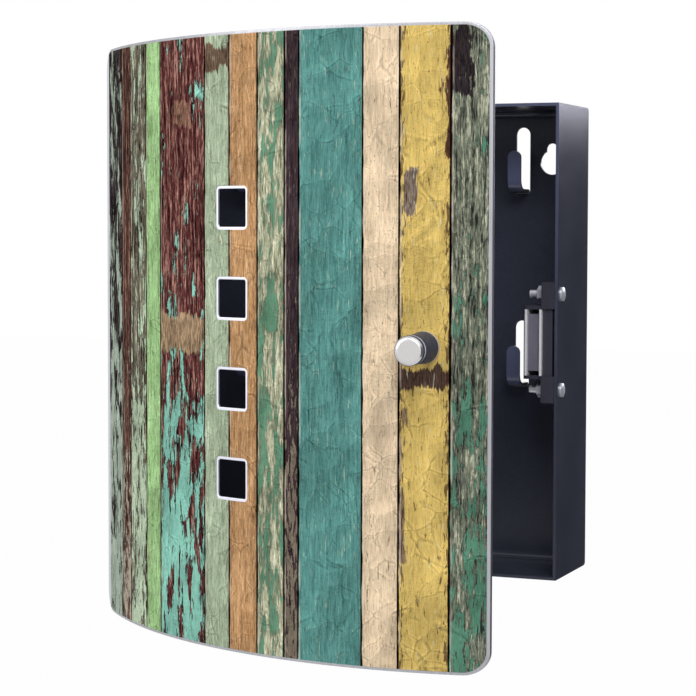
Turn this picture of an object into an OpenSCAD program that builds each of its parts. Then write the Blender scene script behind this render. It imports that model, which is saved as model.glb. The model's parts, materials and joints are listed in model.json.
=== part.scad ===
// Wall key box: a folded steel tray with lanced key hooks, closed by a bowed steel front
// that carries a printed film, turns on two pins at the left and is held by a magnetic catch.
// Millimetres. The wall is the plane y = 0, the front looks along -Y, +X is right, +Z is up.

/* [Front] */
// Width of the front across its bow
front_w = 208; // [190:1:230]
// Height of the front
front_h = 240; // [210:1:280]
// Radius of the bow, measured on the outside
bow_r = 190; // [150:1:260]
// Thickness of the steel front
front_sheet = 1.0; // [0.8:0.1:1.5]
// Radius of the front's four corners
corner_r = 9; // [4:0.5:16]
// Gap between the closed front and the tray's side walls
front_gap = 2.2; // [1.9:0.1:4]
// Angle at which the front stands open
open_angle = 19; // [0:1:60]

/* [Windows] */
// Number of windows in the column
window_count = 4; // [1:1:5]
// Side of a square window
window_size = 14.7; // [10:0.1:20]
// Distance from window to window
window_pitch = 35; // [24:0.5:42]
// Distance of the column to the right of the front's middle
window_x = 1.2; // [-20:0.1:20]
// Radius of a window's corners
window_corner_r = 0.8; // [0.4:0.1:2]

/* [Printed film] */
// Thickness of the film
film_t = 0.2; // [0.1:0.05:0.4]
// Thickness of the glue under the film
film_glue = 0.05; // [0.03:0.01:0.1]
// Bare steel left around the film
film_inset = 1.1; // [0.5:0.1:3]

/* [Tray] */
// Outside width of the tray
tray_w = 194; // [180:1:200]
// Outside height of the tray
tray_h = 188; // [160:1:204]
// Outside depth of the tray
tray_d = 44; // [36:1:60]
// Thickness of the tray's sheet
tray_sheet = 1.2; // [0.8:0.1:1.5]
// Outside radius of the bends between the back and the upper and lower walls
tray_bend_r = 4; // [2:0.1:5]
// Outside radius of the bends between the back and the side walls
tray_side_r = 1.8; // [1.7:0.1:4]

/* [Hooks] */
// Hooks in a row
hook_columns = 5; // [2:1:5]
// Distance of the right-hand hooks from the tray's middle
hook_right_x = 69; // [60:0.5:72]
// Distance from hook to hook in a row
hook_pitch_x = 30.8; // [20:0.1:35]
// Rows of hooks
hook_rows = 2; // [1:1:2]
// Distance from row to row
hook_pitch_z = 80; // [50:1:90]
// Height of the upper row's lowest edge above the tray's middle
hook_top_z = 59.8; // [50:0.1:62]
// Width of a hook
hook_w = 5.5; // [4:0.1:8]
// Distance from the wall to the inside of a hook's arm
hook_reach = 12.3; // [10:0.1:16]
// Height of a hook from its lowest edge to its tip
hook_rise = 16.8; // [12:0.1:20]
// Inside radius of a hook's bend
hook_bend_r = 4; // [2:0.1:5]
// Inside radius of the bend at a hook's root
hook_root_r = 1; // [0.6:0.1:2]
// Gap beside a hook in the opening it was lanced from
hook_kerf = 0.25; // [0.1:0.05:0.4]

/* [Wall keyholes] */
// Distance between the two keyholes
keyhole_pitch = 163; // [160:0.5:166]
// Height of the entry holes above the tray's middle
keyhole_z = 72; // [60:0.5:76]
// Diameter of an entry hole
keyhole_d = 10; // [8:0.1:12]
// Width of the neck above it
keyhole_neck_d = 5; // [4:0.1:6]
// Height of the neck's centre above the entry hole's
keyhole_neck_rise = 5.3; // [4:0.1:8]

/* [Hinge] */
// Distance of the pins from the outside of the left wall
pivot_in_x = 5; // [4.5:0.1:7]
// Distance of the pins behind the tray's front edge
pivot_in_y = 9; // [8:0.1:14]
// Diameter of a pin
pin_d = 4; // [3:0.1:5]
// Radial clearance of a pin in its bracket
pin_clear = 0.05; // [0.02:0.01:0.1]
// Height of a pin's head
pin_head_h = 1.4; // [0.8:0.1:2.5]
// Width of a pin's head and of its riveted end beyond the shank, all round
pin_flange = 1.2; // [0.8:0.1:1.5]
// Height of a pin's riveted end inside the tray
pin_rivet_h = 0.9; // [0.6:0.1:1.5]
// Thickness of the spacer washer between the tray and a bracket
spacer_t = 0.6; // [0.4:0.1:1.5]
// Width of the spacer washer's ring
spacer_ring = 2.4; // [1.5:0.1:4]
// Thickness of a bracket's sheet
bracket_t = 1.5; // [1:0.1:2]
// Radius of a bracket's ear around the pin
bracket_ear_r = 6; // [5:0.1:7]
// Length of a bracket along the front
bracket_w = 26; // [16:0.5:40]
// Height of a bracket's welded flange
bracket_flange_h = 14; // [8:0.5:18]
// Play of a bracket between its washer and the pin's head
bracket_play = 0.1; // [0.05:0.05:0.2]

/* [Magnetic catch] */
// Height of the catch's case out from the wall
case_w = 12.9; // [11:0.1:15]
// Length of the case without its ears
case_len = 29; // [24:0.1:34]
// Depth of the case from front to back
case_d = 16; // [14:0.5:22]
// Distance that the case stands in front of the tray's edge
case_proud = 0; // [0:0.1:1.2]
// Gap between the case and the wall, which only the ears touch
case_off = 0.9; // [0.3:0.1:1.5]
// Radius of the case's corners
case_corner_r = 1.2; // [0.5:0.1:2]
// Overall length of the case with its ears
ear_span = 47.5; // [46:0.1:56]
// Thickness of an ear
ear_t = 5.2; // [3:0.1:6]
// Distance between the two ears
ear_gap = 26.6; // [20:0.1:28]
// Distance that the ears stand in front of the case
ear_proud = 1.0; // [0:0.1:1.5]
// Depth of an ear from front to back
ear_d = 14; // [12:0.5:16]
// Thickness of a pole plate
pole_t = 0.85; // [0.8:0.05:1.5]
// Length of a pole plate
pole_len = 26; // [20:0.1:27]
// Distance that the pole plates stand out of the case
pole_proud = 1.6; // [0.8:0.1:2]
// Thickness of the case's wall beside the inner pole plate
pole_cover = 1.2; // [0.5:0.05:1.5]
// Thickness of the magnet
magnet_t = 5; // [3:0.1:6]
// Length of the magnet
magnet_len = 22.4; // [16:0.1:23]
// Distance that the magnet sits behind the pole plates' ends
magnet_recess = 1.6; // [0.5:0.1:3]
// Depth of the pocket for the magnet and its plates
pocket_d = 11.5; // [8:0.1:13]
// Clearance around pieces set in the pocket
pocket_clear = 0.05; // [0.02:0.01:0.1]

/* [Catch screws] */
// Distance between the two screws
screw_pitch = 38; // [36:0.1:42]
// Distance of the screws behind the tray's front edge
screw_setback = 6.2; // [5.5:0.1:9.5]
// Thread diameter of the screws
screw_d = 3; // [2.5:0.1:3.5]
// Length of a screw under its head
screw_len = 13; // [10:0.5:16]
// Diameter of a screw's head
screw_head_d = 5.5; // [5:0.1:6.4]
// Height of a screw's head
screw_head_h = 1.2; // [0.8:0.1:3]
// Radial clearance of a screw in plain holes
screw_clear = 0.2; // [0.1:0.05:0.4]
// Length that the slots in the ears leave for setting the catch
ear_slot_run = 4; // [1:0.1:5]
// Width of a nut across its flats
nut_flats = 5.5; // [5:0.1:6]
// Height of a nut
nut_h = 2.4; // [1.8:0.1:2.6]
// Outside diameter of a screw's washer
screw_washer_d = 6.5; // [6:0.1:8]
// Thickness of a screw's washer
screw_washer_t = 0.8; // [0.4:0.1:1]
// Radial clearance of a thread in its nut or knob
thread_clear = 0.05; // [0.02:0.01:0.08]

/* [Knob] */
// Distance of the knob from the middle of the front
knob_x = 82; // [60:0.5:84]
// Height of the knob above the middle of the front
knob_z = 1.1; // [-20:0.1:20]
// Length of the knob
knob_len = 23; // [18:0.5:30]
// Diameter of the knob's straight part
knob_d = 11; // [10:0.1:16]
// Diameter of the knob's foot
knob_foot_d = 12.2; // [12:0.1:18]
// Height of the knob's foot rim
knob_foot_h = 0.8; // [0.5:0.1:2]
// Height at which the flare of the foot ends
knob_flare_h = 15; // [3:0.1:16]
// Width of the chamfer around the knob's face
knob_chamfer = 0.8; // [0.3:0.1:1.5]
// Length of the rim in front of the knob's groove
knob_rim = 3.2; // [1:0.1:5]
// Width of the knob's groove
knob_groove_w = 0.7; // [0.4:0.1:1.2]
// Depth of the knob's groove
knob_groove_d = 0.5; // [0.2:0.1:0.8]
// Thread diameter of the knob's screw
knob_screw_d = 4; // [3:0.5:5]
// Depth of the thread in the knob
knob_thread_depth = 9; // [7:0.5:14]
// Length of the knob's screw under its head
knob_screw_len = 8; // [6:0.5:9]
// Diameter of the screw's head
knob_screw_head_d = 7.4; // [6:0.1:8]
// Height of the screw's head
knob_screw_head_h = 2.4; // [1.5:0.1:2.6]
// Outside diameter of the knob's washer
knob_washer_d = 9; // [8:0.1:9.5]
// Thickness of the knob's washer
knob_washer_t = 0.8; // [0.5:0.1:1.2]

/* [Strike plate] */
// Thickness of the strike plate
strike_t = 1.0; // [0.8:0.1:1.2]
// Length of the strike plate along the front's height
strike_len = 24; // [16:0.5:30]
// Length of the welded foot along the front
strike_foot = 7; // [5:0.1:8]
// Overlap of the strike plate past the inner pole plate
strike_overlap = 1.2; // [0.2:0.1:1.5]
// Gap between the strike plate and the pole plates when the front is closed
strike_gap = 0.3; // [0.2:0.05:0.6]

/* [Hidden] */
$fn = 96;

// How far a cut runs past the face it opens
cut = 1;
// Gap between a welded sheet and the bowed front
weld_gap = 0.05;
// Gap between a turned foot and the film under it
seat_gap = 0.03;
// Share of a screw head's diameter that its cross recess spans, and of its height that it is deep
recess_share = 0.5;
// Width of a cross recess as a share of its span
recess_slim = 0.25;

half_w = tray_w / 2;
half_h = tray_h / 2;

// Axis of the bow with the front closed
bow_in = bow_r - front_sheet;
bow_y = sqrt(bow_in * bow_in - half_w * half_w) - tray_d - front_gap;
bow_depth = bow_r - sqrt(bow_r * bow_r - front_w * front_w / 4);
weld_r = bow_in - weld_gap;
film_in = bow_r + film_glue;
film_out = film_in + film_t;

// The two pins share one axis
pivot_x = pivot_in_x - half_w;
pivot_y = pivot_in_y - tray_d;
pin_r = pin_d / 2;
bracket_low_z = half_h + spacer_t + bracket_play / 2;
pin_head_z = bracket_low_z + bracket_t + bracket_play / 2;

// A hook is a tab that was cut from the back, so its opening is as long as the tab
root_mid_r = hook_root_r + tray_sheet / 2;
bend_mid_r = hook_bend_r + tray_sheet / 2;
hook_floor = hook_reach - hook_bend_r - hook_root_r - tray_sheet;
hook_arm_z = hook_bend_r + tray_sheet;
hook_tab = 90 * PI / 180 * (root_mid_r + bend_mid_r) + hook_floor + hook_rise - hook_arm_z;

// The catch sits on the inside of the right wall at mid-height
wall_in_x = half_w - tray_sheet;
case_front_y = -tray_d - case_proud;
pole_inner_x = case_w - pole_cover - pole_t;
pole_outer_x = pole_inner_x - magnet_t - pole_t - 2 * pocket_clear;
magnet_x = pole_outer_x + pole_t + pocket_clear;
screw_r = screw_d / 2;
screw_y = screw_setback - tray_d;
washer_x = tray_sheet + ear_t;
nut_x = washer_x + screw_washer_t;

// The knob stands square to the bow
knob_angle = asin(knob_x / bow_r);
knob_screw_r = knob_screw_d / 2;
knob_washer_r = knob_washer_d / 2;
washer_seat = front_sheet + bow_in - sqrt(bow_in * bow_in - knob_washer_r * knob_washer_r);
knob_seat = film_out - bow_r + seat_gap;

// The strike plate's leg lies flat against the pole plates when the front is closed
strike_back_y = case_front_y - pole_proud - strike_gap;
strike_x = wall_in_x - pole_inner_x - pole_t - strike_overlap;
strike_join_x = sqrt(weld_r * weld_r - pow(strike_back_y - bow_y, 2));

// Rectangle with round corners, centred
module rounded_rect(w, h, r) {
    square([w - 2 * r, h], center = true);
    square([w, h - 2 * r], center = true);
    for (sx = [-1, 1], sy = [-1, 1])
        translate([sx * (w / 2 - r), sy * (h / 2 - r)])
            circle(r);
}

// Section of a tray: open towards -y, with bends at the two corners on y = 0
module tray_section(w, d, r) {
    translate([-w / 2, -d])
        square([w, d - r]);
    translate([r - w / 2, -d])
        square([w - 2 * r, d]);
    for (s = [-1, 1])
        translate([s * (w / 2 - r), -r])
            circle(r);
}

// Block with its back edges bent round on all four sides
module tray_block(w, h, d, side_r, bend_r) {
    intersection() {
        linear_extrude(h, center = true)
            tray_section(w, d, side_r);
        rotate([0, 90, 0])
            linear_extrude(w, center = true)
                tray_section(h, d, bend_r);
    }
}

// Quarter of a bent sheet, in the quadrant of the given signs
module bend_quarter(r_in, sheet, sx, sy) {
    r_out = r_in + sheet;
    intersection() {
        difference() {
            circle(r_out);
            circle(r_in);
        }
        translate([min(0, sx * r_out), min(0, sy * r_out)])
            square(r_out);
    }
}

// Side view of a hook: x runs forward from the wall, y runs up from the lowest edge
module hook_side() {
    root_x = tray_sheet + hook_root_r;
    bend_x = root_x + hook_floor;
    translate([0, -hook_root_r - cut])
        square([tray_sheet, cut]);
    translate([root_x, -hook_root_r])
        bend_quarter(hook_root_r, tray_sheet, -1, 1);
    translate([root_x, 0])
        square([hook_floor, tray_sheet]);
    translate([bend_x, hook_arm_z])
        bend_quarter(hook_bend_r, tray_sheet, 1, -1);
    translate([hook_reach, hook_arm_z])
        square([tray_sheet, hook_rise - hook_arm_z]);
}

// Face of a strip with one round end on top, standing on y = 0
module tongue(w, len) {
    translate([-w / 2, 0])
        square([w, len - w / 2]);
    translate([0, len - w / 2])
        circle(w / 2);
}

// Hook with its round tip
module hook() {
    intersection() {
        rotate([90, 0, -90])
            linear_extrude(hook_w, center = true)
                hook_side();
        translate([0, 0, -hook_root_r - 2 * cut])
            rotate([90, 0, 0])
                linear_extrude(2 * hook_reach)
                    tongue(hook_w, hook_rise + hook_root_r + 2 * cut);
    }
}

// Opening in the back that a hook was lanced from
module hook_opening() {
    opening_w = hook_w + 2 * hook_kerf;
    translate([0, cut, -hook_root_r])
        rotate([90, 0, 0])
            linear_extrude(tray_sheet + 2 * cut)
                tongue(opening_w, hook_tab + hook_kerf);
}

// Place what follows at every hook
module each_hook() {
    for (row = [0 : hook_rows - 1], column = [0 : hook_columns - 1])
        translate([hook_right_x - column * hook_pitch_x, 0, hook_top_z - row * hook_pitch_z])
            children();
}

// Keyhole through the back
module keyhole() {
    rotate([90, 0, 0])
        linear_extrude(2 * (tray_sheet + cut), center = true) {
            circle(keyhole_d / 2);
            translate([-keyhole_neck_d / 2, 0])
                square([keyhole_neck_d, keyhole_neck_rise]);
            translate([0, keyhole_neck_rise])
                circle(keyhole_neck_d / 2);
        }
}

// Place a piece drawn with the front closed where the open front carries it
module swing() {
    translate([pivot_x, pivot_y, 0])
        rotate([0, 0, -open_angle])
            translate([-pivot_x, -pivot_y, 0])
                children();
}

// Sheet of the bow between two radii, cut to an outline seen from the front
module bowed_sheet(r_in, r_out, w, h, r) {
    edge_y = bow_y - sqrt(r_in * r_in - w * w / 4);
    apex_y = bow_y - r_out;
    intersection() {
        translate([0, bow_y, 0])
            difference() {
                cylinder(h = h + 2 * cut, r = r_out, center = true);
                cylinder(h = h + 4 * cut, r = r_in, center = true);
            }
        translate([0, edge_y + cut, 0])
            rotate([90, 0, 0])
                linear_extrude(edge_y - apex_y + 2 * cut)
                    rounded_rect(w, h, r);
    }
}

// Column of square holes through the front
module window_cuts(margin) {
    side = window_size + 2 * margin;
    for (i = [0 : window_count - 1])
        translate([window_x, bow_y - bow_r, ((window_count - 1) / 2 - i) * window_pitch])
            rotate([90, 0, 0])
                linear_extrude(2 * (bow_depth + cut), center = true)
                    rounded_rect(side, side, window_corner_r + margin);
}

// Frame of the knob: z stands out of the front from its steel face
module at_knob() {
    translate([0, bow_y, knob_z])
        rotate([0, 0, knob_angle])
            translate([0, -bow_r, 0])
                rotate([90, 0, 0])
                    children();
}

// Frame of the catch: x runs into the tray from the right wall, y runs back
module at_catch() {
    translate([wall_in_x, case_front_y, 0])
        mirror([1, 0, 0])
            children();
}

// Frame of a catch screw: z runs out of the right wall
module at_catch_screw(side) {
    translate([half_w, screw_y, side * screw_pitch / 2])
        rotate([0, 90, 0])
            children();
}

// Ring lying on z = 0
module ring(outer_r, inner_r, h) {
    difference() {
        cylinder(h = h, r = outer_r);
        translate([0, 0, -cut])
            cylinder(h = h + 2 * cut, r = inner_r);
    }
}

// Cross recess cut into a head from its top
module cross_recess(size, depth) {
    for (turn = [0, 90])
        rotate([0, 0, turn])
            cube([size, recess_slim * size, 2 * depth], center = true);
}

// Domed head standing on z = 0
module domed_head(d, h) {
    dome_r = (d * d / 4 + h * h / 4) / h;
    difference() {
        intersection() {
            cylinder(h = h, r = d / 2);
            translate([0, 0, h - dome_r])
                sphere(r = dome_r);
        }
        translate([0, 0, h])
            cross_recess(recess_share * d, recess_share * h);
    }
}

// Folded tray: back, four walls, hooks, keyholes and the holes for pins and screws
module tray() {
    color("#25262d") {
        difference() {
            tray_block(tray_w, tray_h, tray_d, tray_side_r, tray_bend_r);
            translate([0, -tray_sheet, 0])
                tray_block(tray_w - 2 * tray_sheet, tray_h - 2 * tray_sheet, tray_d,
                           tray_side_r - tray_sheet, tray_bend_r - tray_sheet);
            each_hook()
                hook_opening();
            for (s = [-1, 1])
                translate([s * keyhole_pitch / 2, 0, keyhole_z])
                    keyhole();
            translate([pivot_x, pivot_y, 0])
                cylinder(h = tray_h + 2 * cut, r = pin_r, center = true);
            for (side = [-1, 1])
                at_catch_screw(side)
                    translate([0, 0, -tray_sheet - cut])
                        cylinder(h = tray_sheet + 2 * cut, r = screw_r + screw_clear);
        }
        each_hook()
            hook();
    }
}

// Pin of the upper bracket, riveted into the tray's wall
module pin() {
    rivet_low_z = half_h - tray_sheet - pin_rivet_h;
    translate([pivot_x, pivot_y, rivet_low_z]) {
        cylinder(h = pin_rivet_h, r = pin_r + pin_flange);
        cylinder(h = pin_head_z - rivet_low_z, r = pin_r);
    }
    translate([pivot_x, pivot_y, pin_head_z])
        cylinder(h = pin_head_h, r = pin_r + pin_flange);
}

module hinge_pin_upper() {
    color("#b9bcc0")
        pin();
}

module hinge_pin_lower() {
    color("#b9bcc0")
        mirror([0, 0, 1])
            pin();
}

// Spacer between the tray's wall and the upper bracket
module spacer_washer() {
    translate([pivot_x, pivot_y, half_h])
        ring(pin_r + pin_clear + spacer_ring, pin_r + pin_clear, spacer_t);
}

module spacer_washer_upper() {
    color("#e4e2da")
        spacer_washer();
}

module spacer_washer_lower() {
    color("#e4e2da")
        mirror([0, 0, 1])
            spacer_washer();
}

// Case of the catch: a box with two slotted ears and a pocket open to the front
module catch_case() {
    pocket_x = pole_outer_x - pocket_clear;
    pocket_w = pole_inner_x + pole_t + pocket_clear - pocket_x;
    pocket_len = pole_len + 2 * pocket_clear;
    color("#1d1d20")
        difference() {
            union() {
                at_catch()
                    linear_extrude(case_len, center = true) {
                        translate([case_off, 0])
                            square([case_w - case_off - case_corner_r, case_d]);
                        translate([case_off, case_corner_r])
                            square([case_w - case_off, case_d - 2 * case_corner_r]);
                        for (y = [case_corner_r, case_d - case_corner_r])
                            translate([case_w - case_corner_r, y])
                                circle(case_corner_r);
                    }
                for (z = [-ear_span / 2, ear_gap / 2])
                    at_catch()
                        translate([0, -ear_proud, z])
                            cube([ear_t, ear_d, (ear_span - ear_gap) / 2]);
            }
            at_catch()
                translate([pocket_x, -cut, -pocket_len / 2])
                    cube([pocket_w, pocket_d + cut, pocket_len]);
            for (side = [-1, 1])
                at_catch_screw(side)
                    translate([0, 0, -washer_x - cut])
                        linear_extrude(ear_t + 2 * cut) {
                            for (s = [-1, 1])
                                translate([0, s * ear_slot_run / 2])
                                    circle(screw_r + screw_clear);
                            square([2 * (screw_r + screw_clear), ear_slot_run], center = true);
                        }
        }
}

module catch_magnet() {
    color("#5c5a60")
        at_catch()
            translate([magnet_x, magnet_recess - pole_proud, -magnet_len / 2])
                cube([magnet_t, pocket_d - magnet_recess + pole_proud, magnet_len]);
}

// Steel plate beside the magnet
module pole_plate(x) {
    at_catch()
        translate([x, -pole_proud, -pole_len / 2])
            cube([pole_t, pocket_d + pole_proud, pole_len]);
}

module pole_plate_outer() {
    color("#d0d3d6")
        pole_plate(pole_outer_x);
}

module pole_plate_inner() {
    color("#d0d3d6")
        pole_plate(pole_inner_x);
}

// Screw through the right wall and an ear of the case
module catch_screw(side) {
    color("#c3c6ca")
        at_catch_screw(side) {
            translate([0, 0, -screw_len])
                cylinder(h = screw_len, r = screw_r);
            domed_head(screw_head_d, screw_head_h);
        }
}

module catch_screw_upper() {
    catch_screw(1);
}

module catch_screw_lower() {
    catch_screw(-1);
}

module catch_washer(side) {
    color("#c3c6ca")
        at_catch_screw(side)
            translate([0, 0, -washer_x - screw_washer_t])
                ring(screw_washer_d / 2, screw_r + screw_clear, screw_washer_t);
}

module catch_washer_upper() {
    catch_washer(1);
}

module catch_washer_lower() {
    catch_washer(-1);
}

// Hexagon nut
module catch_nut(side) {
    color("#c3c6ca")
        at_catch_screw(side)
            translate([0, 0, -nut_x - nut_h])
                difference() {
                    cylinder(h = nut_h, r = nut_flats / 2 / cos(30), $fn = 6);
                    translate([0, 0, -cut])
                        cylinder(h = nut_h + 2 * cut, r = screw_r + thread_clear);
                }
}

module catch_nut_upper() {
    catch_nut(1);
}

module catch_nut_lower() {
    catch_nut(-1);
}

// Bowed steel front with its windows and the hole for the knob's screw
module front_panel() {
    color("#b4b8bb")
        swing()
            difference() {
                bowed_sheet(bow_in, bow_r, front_w, front_h, corner_r);
                window_cuts(0);
                at_knob()
                    cylinder(h = 4 * front_sheet, r = knob_screw_r + screw_clear, center = true);
            }
}

// Film on the front, with bare steel left at its edges and around the windows
module printed_film() {
    color("#4e8f83")
        swing()
            difference() {
                bowed_sheet(film_in, film_out, front_w - 2 * film_inset,
                            front_h - 2 * film_inset, corner_r - film_inset);
                window_cuts(film_inset);
                at_knob()
                    cylinder(h = 4 * front_sheet, r = knob_screw_r + screw_clear, center = true);
            }
}

// Bent bracket welded inside the front: a flat ear on the pin and an upright flange
module hinge_bracket() {
    bracket_x = pivot_x - bracket_ear_r;
    swing()
        difference() {
            union() {
                translate([0, 0, bracket_low_z])
                    linear_extrude(bracket_t)
                        bracket_plan(bracket_x, 0);
                translate([0, 0, bracket_low_z])
                    linear_extrude(bracket_flange_h)
                        bracket_plan(bracket_x, weld_r - bracket_t);
            }
            translate([pivot_x, pivot_y, 0])
                cylinder(h = tray_h, r = pin_r + pin_clear);
        }
}

// Plan of a bracket from its left end; a core radius above zero leaves only the flange
module bracket_plan(bracket_x, core_r) {
    intersection() {
        translate([0, bow_y])
            circle(weld_r);
        difference() {
            union() {
                translate([bracket_x, bow_y - bow_r])
                    square([bracket_w, bow_r - bow_y + pivot_y]);
                translate([pivot_x, pivot_y])
                    circle(bracket_ear_r);
            }
            translate([bracket_x + 2 * bracket_ear_r, pivot_y - bracket_ear_r])
                square([bracket_w, 2 * bracket_ear_r]);
            if (core_r > 0)
                translate([0, bow_y])
                    circle(core_r);
        }
    }
}

module hinge_bracket_upper() {
    color("#8b8f94")
        hinge_bracket();
}

module hinge_bracket_lower() {
    color("#8b8f94")
        mirror([0, 0, 1])
            hinge_bracket();
}

// Turned knob with a flared foot, a groove behind its rim and a chamfered face
module knob() {
    foot_r = knob_foot_d / 2;
    body_r = knob_d / 2;
    flare_w = foot_r - body_r;
    flare_run = knob_flare_h - knob_foot_h;
    flare_r = (flare_w * flare_w + flare_run * flare_run) / (2 * flare_w);
    groove_z = knob_len - knob_rim - knob_groove_w;
    color("#c6c6c8")
        swing()
            at_knob()
                translate([0, 0, knob_seat])
                    difference() {
                        rotate_extrude()
                            difference() {
                                union() {
                                    square([foot_r, knob_flare_h]);
                                    square([body_r, knob_len - knob_chamfer]);
                                    polygon([[0, 0], [body_r, 0], [body_r, knob_len - knob_chamfer],
                                             [body_r - knob_chamfer, knob_len], [0, knob_len]]);
                                }
                                translate([body_r + flare_r, knob_flare_h])
                                    circle(flare_r);
                                translate([body_r - knob_groove_d, groove_z])
                                    square([knob_groove_d + cut, knob_groove_w]);
                            }
                        translate([0, 0, -cut])
                            cylinder(h = knob_thread_depth + cut, r = knob_screw_r + thread_clear);
                    }
}

module knob_screw() {
    head_z = -washer_seat - knob_washer_t;
    color("#c3c6ca")
        swing()
            at_knob()
                translate([0, 0, head_z]) {
                    cylinder(h = knob_screw_len, r = knob_screw_r);
                    mirror([0, 0, 1])
                        domed_head(knob_screw_head_d, knob_screw_head_h);
                }
}

module knob_washer() {
    color("#c3c6ca")
        swing()
            at_knob()
                translate([0, 0, -washer_seat - knob_washer_t])
                    ring(knob_washer_r, knob_screw_r + screw_clear, knob_washer_t);
}

// Bent plate: a foot welded along the front and a leg that lies flat on the pole plates
module strike_plate() {
    foot_from = asin(strike_join_x / weld_r) - strike_t / weld_r * 180 / PI;
    foot_to = foot_from + strike_foot / weld_r * 180 / PI;
    far = 2 * bow_r;
    color("#b9bcc0")
        swing()
            linear_extrude(strike_len, center = true)
                intersection() {
                    translate([0, bow_y])
                        circle(weld_r);
                    union() {
                        translate([strike_x, strike_back_y - strike_t])
                            square([strike_join_x - strike_x, strike_t]);
                        difference() {
                            translate([0, bow_y])
                                polygon([[0, 0],
                                         [far * sin(foot_from), -far * cos(foot_from)],
                                         [far * sin(foot_to), -far * cos(foot_to)]]);
                            translate([0, bow_y])
                                circle(weld_r - strike_t);
                        }
                    }
                }
}

tray();
hinge_pin_upper();
hinge_pin_lower();
spacer_washer_upper();
spacer_washer_lower();
catch_case();
catch_magnet();
pole_plate_outer();
pole_plate_inner();
catch_screw_upper();
catch_screw_lower();
catch_washer_upper();
catch_washer_lower();
catch_nut_upper();
catch_nut_lower();
front_panel();
printed_film();
hinge_bracket_upper();
hinge_bracket_lower();
knob();
knob_screw();
knob_washer();
strike_plate();
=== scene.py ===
# %% [markdown]
# # A wall key box with a board-patterned front
#
# The real object is a black folded steel tray that hangs on the wall. A thin, bowed steel front
# closes it, hinged at the left and held by a magnetic catch at the right. A film printed with
# upright weathered boards covers the front. The CAD frame holds every piece at its real size, and
# this lesson gives each of them its surface: it measures the frame, builds the smooth front, film
# and knob from formulas, and then works out one finish after another.

import json
import math
from collections import namedtuple

import bmesh
import bpy
import numpy as np
from mathutils import Matrix, Vector


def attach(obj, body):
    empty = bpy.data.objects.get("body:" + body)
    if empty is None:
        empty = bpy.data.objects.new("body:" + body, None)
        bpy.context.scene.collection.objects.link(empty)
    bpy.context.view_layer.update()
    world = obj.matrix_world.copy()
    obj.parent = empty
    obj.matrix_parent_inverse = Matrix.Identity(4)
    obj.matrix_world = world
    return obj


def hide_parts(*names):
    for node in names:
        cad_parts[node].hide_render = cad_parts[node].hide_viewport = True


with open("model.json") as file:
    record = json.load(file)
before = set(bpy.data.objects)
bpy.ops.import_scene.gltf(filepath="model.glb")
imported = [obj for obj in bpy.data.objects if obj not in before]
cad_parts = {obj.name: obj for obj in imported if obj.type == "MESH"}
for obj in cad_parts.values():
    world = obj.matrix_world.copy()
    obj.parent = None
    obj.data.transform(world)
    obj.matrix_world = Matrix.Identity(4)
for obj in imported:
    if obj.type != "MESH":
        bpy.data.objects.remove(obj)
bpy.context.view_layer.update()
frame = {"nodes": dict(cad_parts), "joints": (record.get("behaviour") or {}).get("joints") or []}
MM = 0.001

# %% [markdown]
# ## Where the front is
#
# The front is part of a cylinder, and it stands open on its hinge. Everything on it is easier to
# describe with the front closed, where its bow is symmetric about x = 0, so two helpers swing points
# between the closed place and the place at rest. The hinge comes from the frame's own joint.

# %% Swing points with the hinge
hinge = frame["joints"][0]
pivot_x, pivot_y = hinge["pos_m"][:2]
open_angle = math.radians(-hinge["range_deg"][0])


def turn(points, angle):
    """Turn points about the hinge pin: x and y by the angle, while z stays."""
    c, s = math.cos(angle), math.sin(angle)
    x, y = points[..., 0] - pivot_x, points[..., 1] - pivot_y
    return np.stack([pivot_x + c * x - s * y, pivot_y + s * x + c * y, points[..., 2]], -1)


def opened(points):
    """From the closed front to the front at rest."""
    return turn(points, -open_angle)


def closed(points):
    """From the front at rest to the closed front."""
    return turn(points, open_angle)


print(f"the front stands open {math.degrees(open_angle):.0f} degrees")

# %% [markdown]
# ## Measuring the bow
#
# A circle x^2 + (y - b)^2 = r^2 becomes the straight line x^2 + y^2 = 2 b y + (r^2 - b^2), so least
# squares on the CAD vertices gives the bow's axis. A second pass keeps only the outer face. The
# largest and smallest distance from that axis are then the sheet's two faces.

# %% Measure the front in the frame


def mesh_points(mesh):
    """Vertices of a mesh as an array."""
    flat = np.empty(len(mesh.vertices) * 3, np.float32)
    mesh.vertices.foreach_get("co", flat)
    return flat.reshape(-1, 3).astype(float)


def node_points(name):
    """Vertices of a CAD node as an array."""
    return mesh_points(frame["nodes"][name].data)


def bow_of(points):
    """Axis y, outer radius and inner radius of a bowed sheet, from its closed points."""
    outer = points
    for _ in range(2):
        terms = np.stack([2 * outer[:, 1], np.ones(len(outer))], 1)
        axis_y = np.linalg.lstsq(terms, (outer[:, :2] ** 2).sum(1), rcond=None)[0][0]
        radius = np.hypot(points[:, 0], points[:, 1] - axis_y)
        outer = points[radius > radius.mean()]
    return axis_y, radius.max(), radius.min()


panel = closed(node_points("front_panel"))
film = closed(node_points("printed_film"))
bow_y, steel_out, steel_in = bow_of(panel)
film_radius = np.hypot(film[:, 0], film[:, 1] - bow_y)
film_out, film_in = film_radius.max(), film_radius.min()
front_half = panel[:, [0, 2]].max(0)
knob = closed(node_points("knob"))
knob_z = (knob[:, 2].min() + knob[:, 2].max()) / 2
film_half = film[:, [0, 2]].max(0)
print(f"bow radius {steel_out / MM:.2f} mm, sheet {(steel_out - steel_in) / MM:.2f} mm")
print(f"front {2 * front_half[0] / MM:.1f} by {2 * front_half[1] / MM:.1f} mm")
print(f"knob {knob_z / MM:.1f} mm above its middle")

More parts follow.
